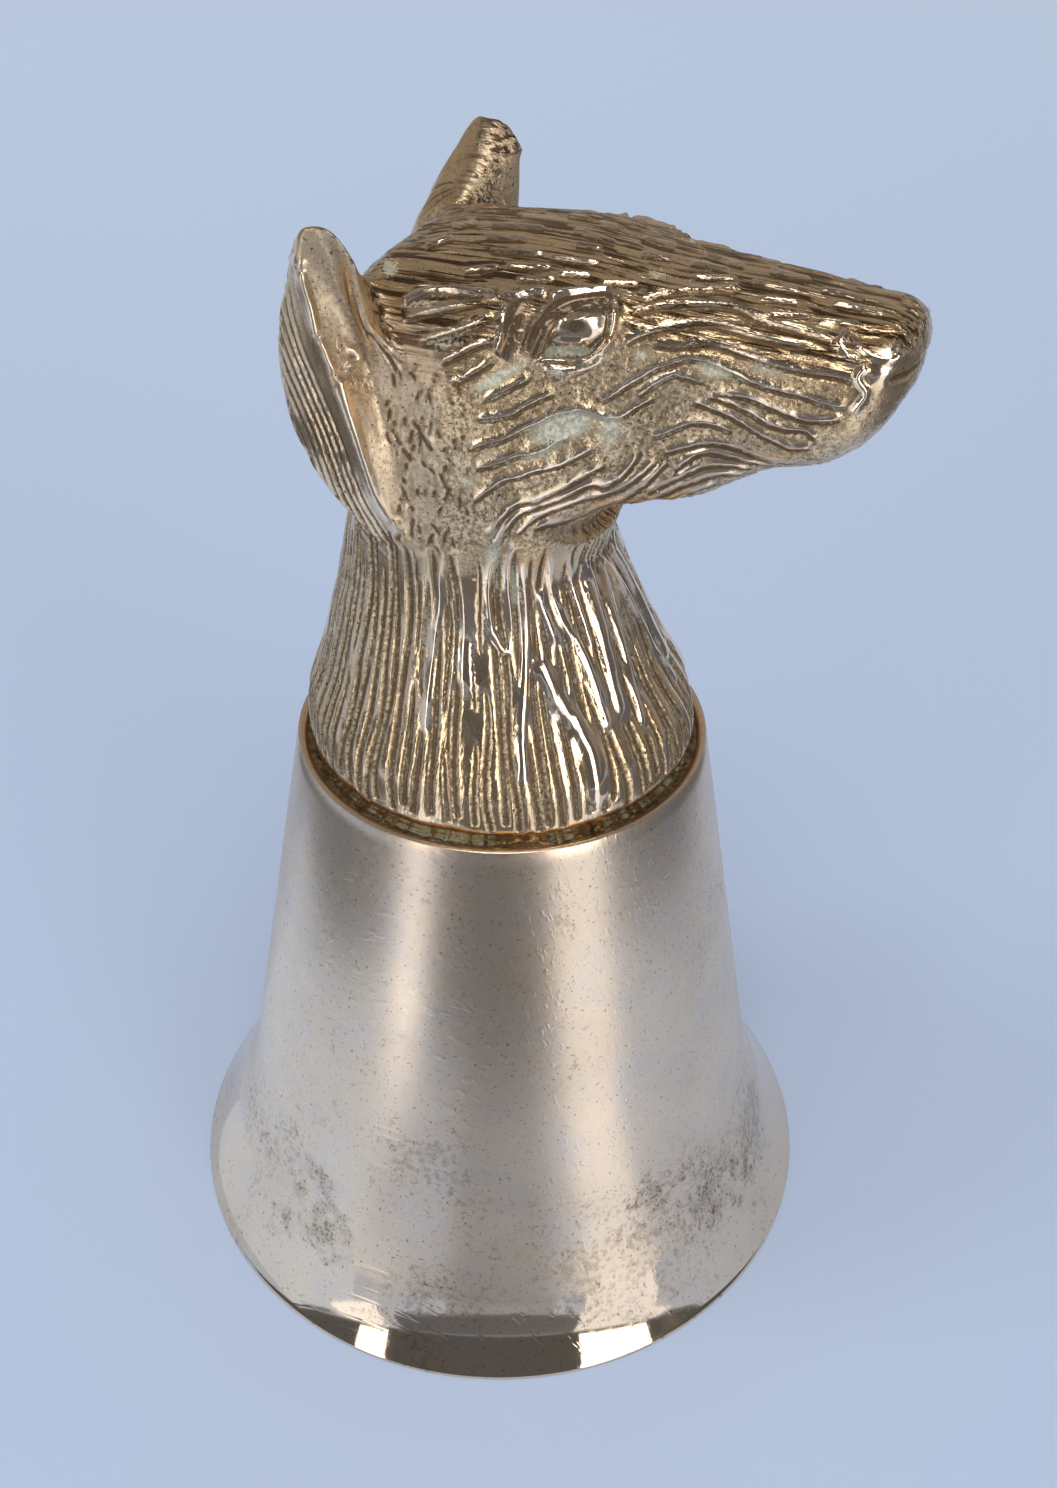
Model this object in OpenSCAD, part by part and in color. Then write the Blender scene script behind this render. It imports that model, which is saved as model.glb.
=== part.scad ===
/* [Cup] */
// Outer diameter of the mouth, on which the cup stands
mouth_d = 72; // [64:0.5:80]
// Outer diameter of the narrow end
lip_d = 41.4; // [38:0.1:45]
// Height of the bell from the mouth to the lip
cup_h = 62; // [54:0.5:72]
// Thickness of the spun sheet
sheet = 1; // [0.7:0.05:1.4]
// Height of the flared part above the mouth
flare_h = 18; // [14:0.5:22]
// Radius of the flare seen from the side
flare_r = 45; // [40:0.5:60]
// Width of the flat left on the thinned lip
lip_land = 0.4; // [0.3:0.05:0.6]
// Height of the thinned part of the lip
lip_bevel = 0.35; // [0.25:0.05:0.6]

/* [Floor and solder] */
// Thickness of the disc that closes the narrow end
floor_t = 0.8; // [0.6:0.05:1.2]
// Depth of the floor's upper face below the lip
floor_drop = 1; // [0.9:0.05:1.6]
// Leg of the solder fillet under the floor
fillet_leg = 1.2; // [0.8:0.05:2]
// Height of the solder against the neck
ring_h = 0.3; // [0.2:0.05:0.6]
// Clearance between pieces that are soldered together
fit_gap = 0.03; // [0.01:0.01:0.08]

/* [Neck] */
// Width of the groove between the neck and the inside of the lip
groove_w = 1.1; // [0.9:0.05:1.6]
// How far the neck swells out above its foot
swell = 0.6; // [0.3:0.05:0.8]
// Height of the swelling above the floor
swell_h = 2.4; // [2:0.1:3.2]
// Radius of the neck at its narrowest
waist_r = 13.2; // [12:0.1:14.5]
// Height of the narrowest place above the floor
waist_h = 23; // [21:0.1:25]
// How far the narrowest place lies behind the cup's axis
waist_back = 1.5; // [0:0.1:3]

/* [Head] */
// Distance of the nose from the cup's axis
nose_reach = 35.7; // [32:0.1:35.8]
// Height of the nose above the floor
nose_h = 46; // [44:0.1:48]
// Height of the skull above the floor
skull_h = 52.4; // [50:0.1:55]
// Width across the cheeks
cheek_w = 28; // [25:0.1:31]
// Width of the muzzle at its middle
muzzle_w = 14.6; // [12.5:0.1:16.5]
// Depth of the muzzle at its middle
muzzle_d = 17; // [15:0.1:19]
// Thickness of the casting
head_wall = 2.5; // [1.8:0.1:3.2]

/* [Ears] */
// Height of the ear tips above the floor
ear_h = 55.4; // [53:0.1:58]
// Distance between the ear tips
ear_span = 32; // [29:0.1:35]
// Width of the ear from front to back
ear_w = 15; // [14:0.1:16]
// Thickness of the ear's rim
ear_rim = 2.2; // [1.8:0.1:2.8]

/* [Hidden] */
$fn = 96;

// Profile of the bell
lip_r = lip_d / 2;
mouth_r = mouth_d / 2;
function reach(a) = lip_r + (cup_h - flare_h) * tan(a)
    + flare_r * (cos(a) - sqrt(max(0, 1 - pow(sin(a) + flare_h / flare_r, 2))));
function lean_for(low, high, turns) = let (mid = (low + high) / 2)
    turns == 0 ? mid : reach(mid) > mouth_r ? lean_for(low, mid, turns - 1) : lean_for(mid, high, turns - 1);
lean_angle = lean_for(0, 30, 40);
normal = [cos(lean_angle), sin(lean_angle)];
bend = [lip_r + (cup_h - flare_h) * tan(lean_angle), flare_h];
flare_centre = bend + flare_r * normal;
function inner_r(z) = lip_r + (cup_h - z) * tan(lean_angle) - sheet / cos(lean_angle);

// Levels of the joint between the cup and the head
floor_z = cup_h - floor_drop;
foot_r = inner_r(floor_z) - groove_w;
swell_r = foot_r + swell;

// Sections of the casting from the foot of the neck to the nose. Each row holds the place forward, the
// height above the floor, the turn (180 lies flat, 90 stands upright), the reach to nape or crown, the
// reach to throat or jaw, the half width, and how square the upper and the lower half are
function narrowed(share) = swell_r + share * (waist_r - swell_r);
function neck_row(share, turn, nape, throat, side) =
    [-share * waist_back, swell_h + share * (waist_h - swell_h), turn,
        narrowed(nape), narrowed(throat), narrowed(side), 2, 2];
sections = [
    [0, 0, 180, foot_r, foot_r, foot_r, 2, 2],
    [0, 0.45 * swell_h, 180, foot_r, foot_r, foot_r, 2, 2],
    [0, swell_h, 180, swell_r, swell_r, swell_r, 2, 2],
    neck_row(0.17, 180, 0.03, 0.1, 0.08),
    neck_row(0.39, 180, 0.32, 0.51, 0.43),
    neck_row(0.64, 178, 0.61, 0.8, 0.72),
    neck_row(0.85, 174, 0.84, 1, 0.94),
    neck_row(1.05, 164, 1.03, 1.06, 1),
    [-0.03 * nose_reach, 0.553 * skull_h, 150, 0.25 * skull_h, 0.24 * skull_h, 0.48 * cheek_w, 2, 2],
    [0.06 * nose_reach, 0.668 * skull_h, 136, 0.35 * skull_h, 0.233 * skull_h, 0.5 * cheek_w, 2.8, 2],
    [0.14 * nose_reach, 0.735 * skull_h, 112, 0.282 * skull_h, 0.237 * skull_h, 0.486 * cheek_w, 2.3, 2],
    [0.25 * nose_reach, 0.792 * skull_h, 100, 0.216 * skull_h, 0.24 * skull_h, 0.42 * cheek_w, 2.4, 2.1],
    [0.39 * nose_reach, 0.824 * skull_h, 95, 0.176 * skull_h, 0.24 * skull_h, 0.66 * muzzle_w, 2.3, 2.2],
    [0.53 * nose_reach, 0.84 * skull_h, 92, 0.47 * muzzle_d, 0.71 * muzzle_d, 0.56 * muzzle_w, 2.2, 2.2],
    [0.7 * nose_reach, 0.97 * nose_h, 90, 0.41 * muzzle_d, 0.52 * muzzle_d, 0.5 * muzzle_w, 2.2, 2.3],
    [0.832 * nose_reach, 0.98 * nose_h, 88, 0.353 * muzzle_d, 0.46 * muzzle_d, 0.473 * muzzle_w, 2.2, 2.3],
    [0.927 * nose_reach, 0.996 * nose_h, 86, 0.294 * muzzle_d, 0.353 * muzzle_d, 0.41 * muzzle_w, 2.3, 2.3],
    [0.978 * nose_reach, 1.009 * nose_h, 84, 0.2 * muzzle_d, 0.212 * muzzle_d, 0.28 * muzzle_w, 2.2, 2.2],
    [nose_reach, 1.015 * nose_h, 84, 0.094 * muzzle_d, 0.082 * muzzle_d, 0.11 * muzzle_w, 2, 2],
];
rings_between = 3;
ring_points = 48;
hollow_sections = 14;
hollow_rings = 2;
hollow_points = 24;

// Raised and sunken places of the head. Each row holds the shares of the nose's reach, of the cheeks' width
// and of the skull's height, and then the spread and the rise as shares of the cheeks' width
swelling_shares = [
    [[-0.2, 0.3, 0.935], 0.125, 0.036], [[-0.084, 0.443, 0.905], 0.093, 0.018],
    [[0.098, 0.414, 0.931], 0.107, 0.032], [[0.252, 0.364, 0.95], 0.107, 0.036],
    [[0.364, 0.3, 0.958], 0.086, 0.025], [[0.168, 0.464, 0.687], 0.214, 0.021],
    [[0.49, 0.321, 0.792], 0.16, -0.029], [[0.462, 0, 0.992], 0.179, -0.014],
    [[0.812, 0.236, 0.802], 0.143, 0.014], [[0.941, 0.121, 0.916], 0.093, 0.014],
];
function on_head(shares) = [shares.x * nose_reach, shares.y * cheek_w, shares.z * skull_h];
swellings = [for (s = swelling_shares) [on_head(s[0]), s[1] * cheek_w, s[2] * cheek_w]];

function curve(a, b, c, d, t) = 0.5 * (2 * b + (c - a) * t + (2 * a - 5 * b + 4 * c - d) * t * t
    + (3 * b - a - 3 * c + d) * t * t * t);
function along(rows, s) = let (last = len(rows) - 1, k = min(floor(s), last - 1))
    curve(rows[max(k - 1, 0)], rows[k], rows[k + 1], rows[min(k + 2, last)], s - k);
function full(c, squareness) = sign(c) * pow(abs(c), 2 / squareness);
function rise(p) = let (q = [p.x, abs(p.y), p.z])
    [for (s = swellings) s[2] * exp(-pow(norm(q - s[0]) / s[1], 2))] * [for (s = swellings) 1];
function ring(row, count, relief) = let (up = [cos(row[2]), 0, sin(row[2])], middle = [row[0], 0, row[1]])
    [for (i = [0 : count - 1]) let (a = 360 * i / count, squareness = sin(a) >= 0 ? row[6] : row[7],
        out = up * full(sin(a), squareness) * (sin(a) >= 0 ? row[3] : row[4])
            + [0, full(cos(a), squareness) * row[5], 0])
        middle + out * (1 + relief * rise(middle + out) / norm(out))];

module loft(rings) {
    count = len(rings[0]);
    last = len(rings) - 1;
    polyhedron(
        points = [for (r = rings) for (p = r) p],
        faces = concat(
            [[for (i = [0 : count - 1]) i]],
            [[for (i = [count - 1 : -1 : 0]) last * count + i]],
            [for (k = [0 : last - 1]) for (i = [0 : count - 1]) let (j = (i + 1) % count, m = k * count)
                each [[m + i, m + count + i, m + count + j], [m + i, m + count + j, m + j]]]),
        convexity = 6);
}

// Left ear, cut level from the lobe to the tip. Each row holds the share of the ear's height and then points
// as shares of its width forward and of the tip's distance outward: rim, back, root, front root and the
// floor of the hollow
ear_shares = [
    [0.475, [-0.2, 0.74], [-0.4, 0.69], [-0.32, 0.49], [-0.15, 0.6], [-0.17, 0.67]],
    [0.495, [-0.12, 0.85], [-0.53, 0.74], [-0.34, 0.45], [-0.05, 0.65], [-0.08, 0.74]],
    [0.56, [-0.25, 0.95], [-0.79, 0.73], [-0.51, 0.29], [0, 0.7], [-0.1, 0.79]],
    [0.64, [-0.36, 1.01], [-0.95, 0.75], [-0.6, 0.19], [-0.05, 0.75], [-0.15, 0.82]],
    [0.72, [-0.43, 1.04], [-1, 0.77], [-0.68, 0.21], [-0.14, 0.78], [-0.28, 0.82]],
    [0.794, [-0.52, 1.04], [-1, 0.78], [-0.7, 0.25], [-0.25, 0.82], [-0.4, 0.83]],
    [0.857, [-0.61, 1.04], [-0.93, 0.8], [-0.65, 0.4], [-0.31, 0.93], [-0.46, 0.86]],
    [0.912, [-0.67, 1.04], [-0.84, 0.85], [-0.57, 0.66], [-0.32, 1], [-0.5, 0.91]],
    [0.957, [-0.67, 1.04], [-0.76, 0.94], [-0.55, 0.83], [-0.35, 1], [-0.5, 0.96]],
    [0.989, [-0.66, 1.02], [-0.69, 0.97], [-0.57, 0.9], [-0.44, 1], [-0.54, 0.98]],
    [1, [-0.63, 1.01], [-0.64, 0.98], [-0.59, 0.96], [-0.51, 0.99], [-0.56, 0.99]],
];
levels = [for (row = ear_shares)
    [row[0] * ear_h, for (i = [1 : len(row) - 1]) [row[i].x * ear_w, row[i].y * ear_span / 2]]];
ear_points = 4;
ear_rings = 2;

function shoulders(row, thick) = let (rim = row[1], to_back = row[2] - rim, to_hollow = row[5] - rim,
    step = min(thick, norm(to_hollow) / 2))
    [rim + step * to_hollow / norm(to_hollow), rim, rim + step * to_back / norm(to_back), row[2], row[3],
        row[4], row[5]];
function closed(points, s) = let (n = len(points), k = floor(s) % n)
    curve(points[(k + n - 1) % n], points[k], points[(k + 1) % n], points[(k + 2) % n], s - floor(s));
function ear_ring(row) = let (outline = shoulders(row, ear_rim / 2))
    [for (i = [0 : len(outline) * ear_points - 1]) let (p = closed(outline, i / ear_points))
        [p.x, p.y, row[0]]];
function level(s) = let (last = len(levels) - 1, k = min(floor(s), last - 1),
    a = levels[max(k - 1, 0)], b = levels[k], c = levels[k + 1], d = levels[min(k + 2, last)])
    [for (i = [0 : len(b) - 1]) curve(a[i], b[i], c[i], d[i], s - k)];

// Eyeball and lids of the left eye, as beads with a place on the head and a radius
function bead(shares, size) = [on_head(shares), size * cheek_w];
ball = [bead([0.263, 0.343, 0.901], 0.061), bead([0.317, 0.318, 0.927], 0.057)];
inner_corner = bead([0.365, 0.3, 0.948], 0.02);
outer_corner = bead([0.2, 0.41, 0.88], 0.018);
upper_lid = [inner_corner, bead([0.31, 0.36, 0.945], 0.025), bead([0.235, 0.4, 0.925], 0.025),
    outer_corner];
lower_lid = [inner_corner, bead([0.353, 0.339, 0.897], 0.021), bead([0.286, 0.389, 0.863], 0.021),
    outer_corner];

module chain(beads) {
    for (k = [0 : len(beads) - 2])
        hull()
            for (end = [beads[k], beads[k + 1]])
                translate(end[0]) sphere(r = end[1], $fn = 16);
}

module cup_shell() {
    color("silver")
        rotate_extrude() {
            polygon([bend, [lip_r, cup_h], [lip_r - lip_land, cup_h],
                [inner_r(cup_h - lip_bevel), cup_h - lip_bevel], bend - sheet * normal]);
            intersection() {
                translate(flare_centre)
                    difference() {
                        circle(r = flare_r + sheet);
                        circle(r = flare_r);
                    }
                polygon([flare_centre, bend - 2 * sheet * normal, [bend.x - 2 * sheet, 0],
                    [flare_centre.x, 0]]);
            }
        }
}

module cup_floor() {
    color("silver")
        translate([0, 0, floor_z - floor_t])
            cylinder(r = inner_r(floor_z) - fit_gap, h = floor_t);
}

module floor_solder() {
    top = floor_z - floor_t - fit_gap;
    color("gray")
        rotate_extrude()
            polygon([[inner_r(top) - fit_gap, top], [inner_r(top) - fit_gap - fillet_leg, top],
                [inner_r(top - fillet_leg) - fit_gap, top - fillet_leg]]);
}

module neck_solder() {
    low = floor_z + fit_gap;
    high = cup_h - lip_bevel - fit_gap;
    near = foot_r + fit_gap;
    color("gray")
        rotate_extrude()
            polygon([[near, low], [inner_r(low) - fit_gap, low], [inner_r(high) - fit_gap, high],
                [near, floor_z + ring_h]]);
}

module head_casting() {
    steps = (len(sections) - 1) * rings_between;
    ear_steps = (len(levels) - 1) * ear_rings;
    color("tan")
        translate([0, 0, floor_z])
            difference() {
                union() {
                    loft([for (k = [0 : steps]) ring(along(sections, k / rings_between), ring_points, 1)]);
                    for (side = [0, 1])
                        mirror([0, side, 0]) {
                            loft([for (k = [0 : ear_steps]) ear_ring(level(k / ear_rings))]);
                            chain(ball);
                            chain(upper_lid);
                            chain(lower_lid);
                        }
                }
                inside();
            }
}

module inside() {
    thinner = [0, 0, 0, head_wall, head_wall, head_wall, 0, 0];
    rows = [for (k = [0 : hollow_sections - 1]) sections[k] - thinner];
    below = [0, head_wall, 0, 0, 0, 0, 0, 0];
    steps = (hollow_sections - 1) * hollow_rings;
    loft(concat([ring(rows[0] - below, hollow_points, 0)],
        [for (k = [1 : steps]) ring(along(rows, k / hollow_rings), hollow_points, 0)]));
}

cup_shell();
cup_floor();
floor_solder();
neck_solder();
head_casting();
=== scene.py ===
import math
import bpy
import numpy as np
from mathutils import Matrix, Vector


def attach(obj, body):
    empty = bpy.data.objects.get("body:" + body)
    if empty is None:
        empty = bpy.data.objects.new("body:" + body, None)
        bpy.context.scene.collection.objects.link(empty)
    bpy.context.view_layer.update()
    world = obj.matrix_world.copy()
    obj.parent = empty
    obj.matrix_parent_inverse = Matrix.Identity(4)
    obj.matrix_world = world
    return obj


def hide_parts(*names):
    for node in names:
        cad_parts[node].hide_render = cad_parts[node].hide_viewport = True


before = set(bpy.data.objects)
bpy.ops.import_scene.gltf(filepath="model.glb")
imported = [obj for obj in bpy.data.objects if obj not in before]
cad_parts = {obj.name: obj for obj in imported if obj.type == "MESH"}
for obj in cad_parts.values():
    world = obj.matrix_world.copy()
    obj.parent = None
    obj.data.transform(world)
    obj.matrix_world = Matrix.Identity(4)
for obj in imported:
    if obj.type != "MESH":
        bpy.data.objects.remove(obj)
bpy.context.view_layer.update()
scene = bpy.context.scene
print("frame loaded")

# camera of the photograph, angles in degrees, places in mm
shot = {
    "size": (1057, 1488),
    "focal": 1600.0,  # pixels
    "pitch": 37.5,
    "yaw": 1.17,
    "roll": -0.95,
    "away": 131.0,
    "height": 159.3,
    "turn": 24.0,  # of the head towards the camera
    "sensor": 36.0,
}


def shotAxes():
    turn, yaw, pitch, roll = (math.radians(shot[k]) for k in ("turn", "yaw", "pitch", "roll"))
    ahead = yaw - turn  # heading seen from above
    right = np.array([math.cos(ahead), -math.sin(ahead), 0.0])
    level = np.array([math.sin(ahead), math.cos(ahead), 0.0])
    forward = level * math.cos(pitch) - np.array([0, 0, math.sin(pitch)])
    up = level * math.sin(pitch) + np.array([0, 0, math.cos(pitch)])
    across = right * math.cos(roll) - up * math.sin(roll)
    upward = right * math.sin(roll) + up * math.cos(roll)
    spot = np.array([shot["away"] * math.sin(turn), -shot["away"] * math.cos(turn), shot["height"]])
    return spot, across, upward, forward


def toPixel(places):  # mm in the part's frame to photo pixels
    spot, across, upward, forward = shotAxes()
    rel = places - spot
    depth = rel @ forward
    x = shot["size"][0] / 2 + shot["focal"] * (rel @ across) / depth
    y = shot["size"][1] / 2 - shot["focal"] * (rel @ upward) / depth
    return np.stack([x, y], axis=1)


def pick(obj):
    if bpy.context.object and bpy.context.object.mode != "OBJECT":
        bpy.ops.object.mode_set(mode="OBJECT")
    bpy.ops.object.select_all(action="DESELECT")
    obj.select_set(True)
    bpy.context.view_layer.objects.active = obj


def modify(obj, kind, **settings):
    pick(obj)
    bpy.ops.object.modifier_add(type=kind)
    mod = obj.modifiers[-1]
    for key, value in settings.items():
        setattr(mod, key, value)
    bpy.ops.object.modifier_apply(modifier=mod.name)


def coords(obj):  # mm
    flat = np.empty(len(obj.data.vertices) * 3, np.float32)
    obj.data.vertices.foreach_get("co", flat)
    return flat.reshape(-1, 3).astype(float) * 1000


def normals(obj):
    flat = np.empty(len(obj.data.vertices) * 3, np.float32)
    obj.data.vertex_normals.foreach_get("vector", flat)
    return flat.reshape(-1, 3).astype(float)


def paint(obj, name, values):
    layer = obj.data.attributes.get(name) or obj.data.attributes.new(name, "FLOAT", "POINT")
    layer.data.foreach_set("value", values.astype(np.float32))


# head: the casting's smooth form first
headPlan = {"voxel": 0.00017, "foot": 0.061, "rounds": 46, "blur": 20, "triangles": 199000}  # m

pick(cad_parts["head_casting"])
bpy.ops.object.duplicate()
head = bpy.context.object
head.name = "head"
for key in list(head.keys()):
    del head[key]
head.parent = None
pick(head)
bpy.ops.object.mode_set(mode="EDIT")
bpy.ops.mesh.select_all(action="SELECT")
bpy.ops.mesh.remove_doubles(threshold=1e-6)
bpy.ops.mesh.select_all(action="DESELECT")
bpy.ops.object.mode_set(mode="OBJECT")
for face in head.data.polygons:  # the flat ring under the neck joins the skin to the hollow
    face.select = face.normal.z < -0.99 and face.center.z < headPlan["foot"] + 1e-4
bpy.ops.object.mode_set(mode="EDIT")
bpy.ops.mesh.delete(type="FACE")
bpy.ops.mesh.select_all(action="SELECT")
bpy.ops.mesh.separate(type="LOOSE")
bpy.ops.object.mode_set(mode="OBJECT")
shells = sorted(bpy.context.selected_objects, key=lambda o: o.dimensions.x * o.dimensions.z)
head = shells[-1]
for rest in shells[:-1]:
    bpy.data.objects.remove(rest)
head.name = "head"
pick(head)
bpy.ops.object.mode_set(mode="EDIT")
bpy.ops.mesh.select_all(action="DESELECT")
bpy.ops.mesh.select_mode(type="EDGE")
bpy.ops.mesh.select_non_manifold()
bpy.ops.mesh.edge_face_add()
bpy.ops.mesh.select_all(action="SELECT")
bpy.ops.mesh.normals_make_consistent(inside=False)
bpy.ops.object.mode_set(mode="OBJECT")
modify(head, "REMESH", mode="VOXEL", voxel_size=headPlan["voxel"])
modify(head, "SMOOTH", factor=0.5, iterations=headPlan["rounds"])
print("head form", len(head.data.vertices), "points")


def rounded(line, rounds=2):  # corner cutting
    pts = np.array(line, float)
    for _ in range(rounds):
        a, b = pts[:-1], pts[1:]
        cut = np.empty((2 * len(a), 2))
        cut[0::2] = a * 0.75 + b * 0.25
        cut[1::2] = a * 0.25 + b * 0.75
        pts = np.vstack([pts[:1], cut, pts[-1:]])
    return pts


def along(spots, line):  # signed distance to a drawn line and distance to its nearer end, in pixels
    pts = rounded(line)
    best = np.full(len(spots), 1e9)
    side = np.zeros(len(spots))
    run = np.zeros(len(spots))
    start = 0.0
    for a, b in zip(pts[:-1], pts[1:]):
        step = b - a
        length = np.hypot(*step)
        rel = spots - a
        t = np.clip(rel @ step / length ** 2, 0, 1)
        gap = np.hypot(*(rel - t[:, None] * step).T)
        near = gap < best
        best[near] = gap[near]
        side[near] = np.sign(step[0] * rel[:, 1] - step[1] * rel[:, 0])[near]
        run[near] = (start + t * length)[near]
        start += length
    return best * side, np.minimum(run, start - run)


def ease(low, high, values):
    t = np.clip((values - low) / (high - low), 0, 1)
    return t * t * (3 - 2 * t)


# crests of the fur, in photo pixels, drawn so that the cut lies below each
cheekLines = [
    [(400, 305), (413, 296), (428, 290), (459, 291), (474, 295), (490, 292)],
    [(400, 319), (418, 314), (443, 308), (469, 303), (490, 298), (503, 298)],
    [(415, 341), (436, 336), (459, 329), (482, 320), (494, 312)],
    [(436, 363), (454, 356), (474, 345), (492, 339), (497, 342)],
    [(446, 383), (464, 377), (484, 364), (494, 358)],
    [(478, 400), (495, 393), (510, 386), (525, 379), (532, 372)],
    [(472, 419), (480, 417), (500, 415), (512, 413), (522, 405), (540, 397), (557, 389)],
    [(463, 448), (485, 442), (505, 437), (520, 428), (540, 420), (552, 413), (570, 409), (580, 407),
     (592, 411), (606, 416), (618, 416), (627, 411), (640, 402), (656, 394)],
    [(470, 467), (492, 463), (505, 458), (516, 453), (530, 453), (545, 448), (555, 440), (568, 434),
     (574, 440)],
    [(468, 502), (480, 494), (492, 485), (503, 477), (518, 475), (530, 470), (545, 466), (560, 463),
     (575, 455), (590, 447), (596, 443)],
    [(484, 541), (493, 525), (503, 511), (512, 503), (524, 499), (534, 499), (545, 493), (560, 487),
     (572, 479), (585, 472), (598, 465), (607, 463)],
    [(484, 551), (497, 540), (505, 527), (514, 514), (526, 508), (540, 503), (555, 497), (568, 492),
     (580, 485), (592, 481), (604, 484), (618, 476), (630, 463), (640, 448)],
    [(512, 538), (520, 527), (530, 518), (545, 510), (560, 504), (580, 497), (605, 491), (622, 484),
     (640, 472), (652, 460), (659, 454)],
    [(530, 530), (543, 522), (560, 520), (580, 513), (600, 505), (620, 497), (640, 485), (656, 469),
     (668, 458)],
    [(365, 325), (378, 336), (390, 350), (398, 364), (404, 377)],
    [(379, 337), (386, 330), (393, 324)],
    [(420, 424), (428, 436), (438, 452)],
    [(640, 302), (653, 296), (670, 292), (690, 289), (743, 288)],
]
muzzleLines = [
    [(628, 312), (642, 308), (657, 305), (680, 304), (700, 303), (725, 304), (740, 307), (750, 313),
     (765, 320), (782, 325), (800, 329), (815, 335), (830, 342), (838, 350)],
    [(620, 345), (635, 336), (650, 331), (665, 327), (685, 324), (700, 321), (715, 324), (735, 329),
     (755, 336), (775, 340), (795, 344), (812, 345)],
    [(650, 343), (672, 345), (690, 345), (705, 342), (718, 344), (735, 350), (755, 357), (775, 364),
     (800, 370), (825, 373), (845, 376), (857, 383)],
    [(596, 402), (610, 394), (625, 384), (640, 376), (655, 366), (670, 362), (685, 357), (700, 357),
     (712, 361), (725, 367), (740, 374), (755, 381), (775, 388), (800, 393), (820, 400), (835, 404),
     (849, 405)],
    [(632, 396), (645, 388), (660, 378), (675, 371), (682, 374), (695, 378), (707, 380)],
    [(712, 388), (730, 392), (745, 394), (765, 402), (785, 411), (805, 418), (825, 419), (836, 418),
     (843, 414)],
    [(705, 392), (715, 395), (730, 400), (745, 407), (760, 416), (775, 424), (790, 428), (805, 427),
     (812, 433), (821, 441)],
    [(690, 402), (698, 400), (710, 405), (725, 411), (740, 418), (750, 425), (765, 434), (780, 441),
     (795, 447), (815, 445)],
    [(648, 436), (665, 430), (680, 424), (695, 420), (710, 421), (725, 426), (738, 431)],
    [(660, 452), (680, 446), (700, 441), (715, 440), (735, 444), (755, 452), (775, 458), (797, 461)],
    [(668, 470), (688, 456), (705, 448), (730, 452), (755, 460), (785, 464)],
    [(640, 492), (665, 480), (690, 468), (710, 461), (735, 462), (757, 466)],
    [(606, 514), (640, 500), (668, 488), (695, 477), (720, 470), (748, 472)],
    [(614, 522), (640, 512), (668, 499), (695, 487), (720, 479)],
]
furPlan = {"width": 2.8, "rise": 0.3, "above": 2.6, "under": 0.2, "power": 1.7}  # see stroke
fleckPlan = {  # hairs between ear and cheek, pixels and degrees, rise in mm
    "count": 70,
    "across": (392, 476),
    "down": (360, 540),
    "heading": (50, 120),
    "length": (9, 24),
    "bend": 3,
    "rise": (0.1, 0.2),
    "cut": {"width": 2.6, "above": 1.3, "under": 0.12, "fade": 6},
}
earPlan = {
    "lines": [  # line, half width in pixels, rise in mm
        ([(340, 376), (343, 395), (348, 412), (354, 430), (360, 450), (366, 470), (372, 490), (380, 508),
          (392, 525), (402, 540), (412, 550), (426, 558)], 5, 0.3),
        ([(301, 268), (304, 288), (309, 302), (312, 315), (314, 326), (317, 338)], 4, 0.4),
        ([(317, 338), (324, 348), (328, 362), (336, 374)], 3, 0.25),
        ([(345, 350), (353, 349), (358, 355), (358, 361), (350, 364), (345, 369)], 3, 0.3),
        ([(290, 252), (294, 262), (300, 266), (305, 258)], 4, 0.25),
    ],
    "edge": [(300, 222), (295, 250), (297, 282), (303, 318), (314, 352), (328, 384), (342, 414), (356, 450),
             (370, 490), (390, 525), (412, 550), (430, 560)],  # the back lies left of it
    "web": [(358, 268), (366, 290), (375, 314), (388, 352), (394, 390), (400, 430), (408, 470),
            (416, 510), (424, 540)],
    "webWidth": 15.0,
    "webRounds": 500,
    "webFoot": 88,  # mm
    "root": (-8.5, -10.5),  # mm
    "fur": 0.1,  # height of the strokes on the back, mm
}
eyePlan = {
    "rolls": [  # of the upper lid
        ([(612, 300), (592, 301), (573, 303), (559, 309), (550, 318), (543, 330), (537, 344),
          (532, 358)], 8.0, 0.5),
        ([(526, 298), (517, 309), (513, 322), (510, 336), (505, 349), (497, 358)], 9.0, 0.4),
    ],
    "lines": [  # line, half width in pixels, rise in mm
        ([(402, 306), (419, 296), (440, 291), (469, 291), (497, 293)], 3.2, 0.3),
        ([(497, 292), (507, 294), (516, 297), (526, 293), (540, 290), (548, 297)], 3.6, 0.46),
        ([(548, 298), (560, 294), (575, 293), (592, 291), (606, 290), (615, 290)], 3.8, 0.52),
        ([(615, 290), (616, 298), (614, 312), (613, 326), (610, 338), (604, 348), (597, 356)], 3.4, 0.2),
        ([(549, 298), (543, 311), (536, 320), (531, 333), (528, 345), (530, 360)], 2.4, 0.16),
        ([(503, 299), (501, 318), (501, 336), (495, 352)], 2.4, 0.2),
        ([(533, 365), (545, 360), (560, 360), (577, 362), (590, 357), (601, 346), (612, 335)], 2.8, 0.38),
        ([(540, 369), (552, 368), (565, 370), (580, 369), (594, 364), (604, 356)], 2.6, 0.25),
        ([(549, 342), (560, 341), (572, 343), (586, 342)], 2.4, 0.2),
        ([(565, 321), (578, 320), (590, 318)], 2.0, 0.1),
    ],
    "opening": [(545, 357), (550, 341), (557, 323), (567, 312), (585, 306), (609, 303), (611, 318),
                (607, 336), (599, 349), (586, 358), (566, 357)],
    "soft": 2.5,
    "depth": 0.5,
    "ball": (582, 330, 40, 24, 0.28),  # middle and half size in pixels, rise in mm
    "pupil": (574, 327, 16, 10, 0.7),  # the last is its darkness
}
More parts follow.
